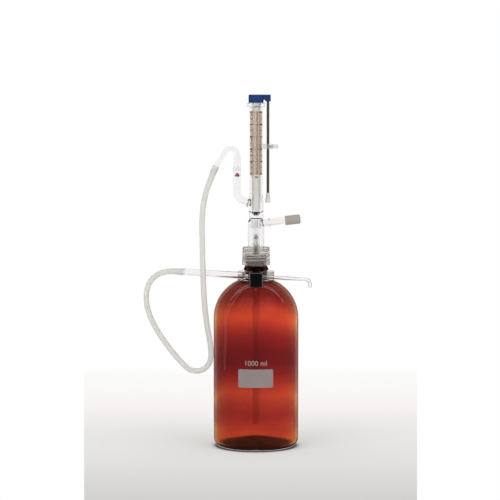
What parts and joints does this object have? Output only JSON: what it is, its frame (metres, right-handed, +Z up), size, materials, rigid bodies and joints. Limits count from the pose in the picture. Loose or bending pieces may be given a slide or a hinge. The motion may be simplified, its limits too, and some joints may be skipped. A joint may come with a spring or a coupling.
{
  "type": "bottle-top dispenser",
  "caption": "Glass piston dispenser screwed on an amber reagent bottle, with a ball-valve side arm, a stop rod, a vent arm and a hose that leads to a glass spout clipped to the neck.",
  "frame": {"origin": "on the bottle's axis, in the plane of the flat ring that the bottle stands on", "axes": "+Z up along the bottle and barrel; +X towards the stop rod, the vent arm and the spout; the spout tube passes in front of the neck at -Y"},
  "size_m": [0.1858, 0.095, 0.3922],
  "materials": {
    "amber_glass": "smooth amber glass, see-through",
    "clear_glass": "clear laboratory glass",
    "ground_glass": "finely ground, grey and translucent",
    "black_plastic": "black moulded plastic with slightly scuffed edges",
    "clear_plastic": "clear machined acrylic, polished edges",
    "milky_plastic": "translucent polypropylene, satin",
    "blue_plastic": "moulded, satin gloss",
    "dark_rod": "dark brown coating, satin",
    "red_ball": "polished crimson ball",
    "white_ball": "polished ceramic ball",
    "grey_rubber": "matt grey rubber",
    "dark_rubber": "black seal",
    "silicone": "translucent ivory silicone",
    "fluoroplastic": "white translucent fluoroplastic"
  },
  "bodies": {
    "bottle_and_glass": {"bottle": "amber_glass", "mouth_gasket": "silicone", "adapter": "clear_glass", "joint_seal": "dark_rubber", "barrel": "clear_glass", "inlet_seat": "fluoroplastic", "dip_tube": "fluoroplastic", "delivery_bend": "clear_glass", "nozzle": "clear_glass", "neck_clip": "clear_plastic", "nozzle_block": "black_plastic", "hose": "silicone"},
    "cap_washer": {"cap_washer": "fluoroplastic"},
    "screw_cap": {"screw_cap": "milky_plastic"},
    "vent_cap": {"vent_cap": "grey_rubber"},
    "inlet_ball": {"inlet_ball": "white_ball"},
    "outlet_ball": {"outlet_ball": "red_ball"},
    "plunger": {"plunger": "ground_glass"},
    "plunger_cap": {"plunger_cap": "blue_plastic", "stop_rod": "dark_rod", "rod_tip": "silicone"},
    "stopper": {"stopper": "clear_plastic"},
    "stopper_screw": {"stopper_screw": "clear_plastic"}
  },
  "joints": [
    {"name": "cap_travel", "type": "slide", "parent": "bottle_and_glass", "child": "cap_washer", "axis": [0, 0, 1], "range_m": [0, 0.0103]},
    {"name": "cap_turn", "type": "hinge", "parent": "cap_washer", "child": "screw_cap", "pos_m": [0, 0, 0.21], "axis": [0, 0, 1], "range_deg": [0, 1080]},
    {"name": "vent_cap_pull", "type": "slide", "parent": "bottle_and_glass", "child": "vent_cap", "axis": [0.9934, 0, 0.1149], "range_m": [0, 0.02]},
    {"name": "inlet_ball_lift", "type": "slide", "parent": "bottle_and_glass", "child": "inlet_ball", "axis": [0, 0, 1], "range_m": [0, 0.002]},
    {"name": "outlet_ball_lift", "type": "slide", "parent": "bottle_and_glass", "child": "outlet_ball", "axis": [0, 0, 1], "range_m": [0, 0.002]},
    {"name": "plunger_slide", "type": "slide", "parent": "bottle_and_glass", "child": "plunger", "axis": [0, 0, 1], "range_m": [0, 0.04072]},
    {"name": "rod_swing", "type": "hinge", "parent": "plunger", "child": "plunger_cap", "pos_m": [0, 0, 0.385], "axis": [0, 0, 1], "range_deg": [-135, 135]},
    {"name": "stopper_slide", "type": "slide", "parent": "plunger_cap", "child": "stopper", "axis": [0, 0, -1], "range_m": [-0.04072, 0.02735]},
    {"name": "stopper_screw_turn", "type": "hinge", "parent": "stopper", "child": "stopper_screw", "pos_m": [0.0132, 0, 0.33481], "axis": [1, 0, 0], "range_deg": [0, 720]}
  ],
  "couplings": [
    {"joint": "cap_travel", "follows": "cap_turn", "m_per_rad": 0.00054113}
  ]
}
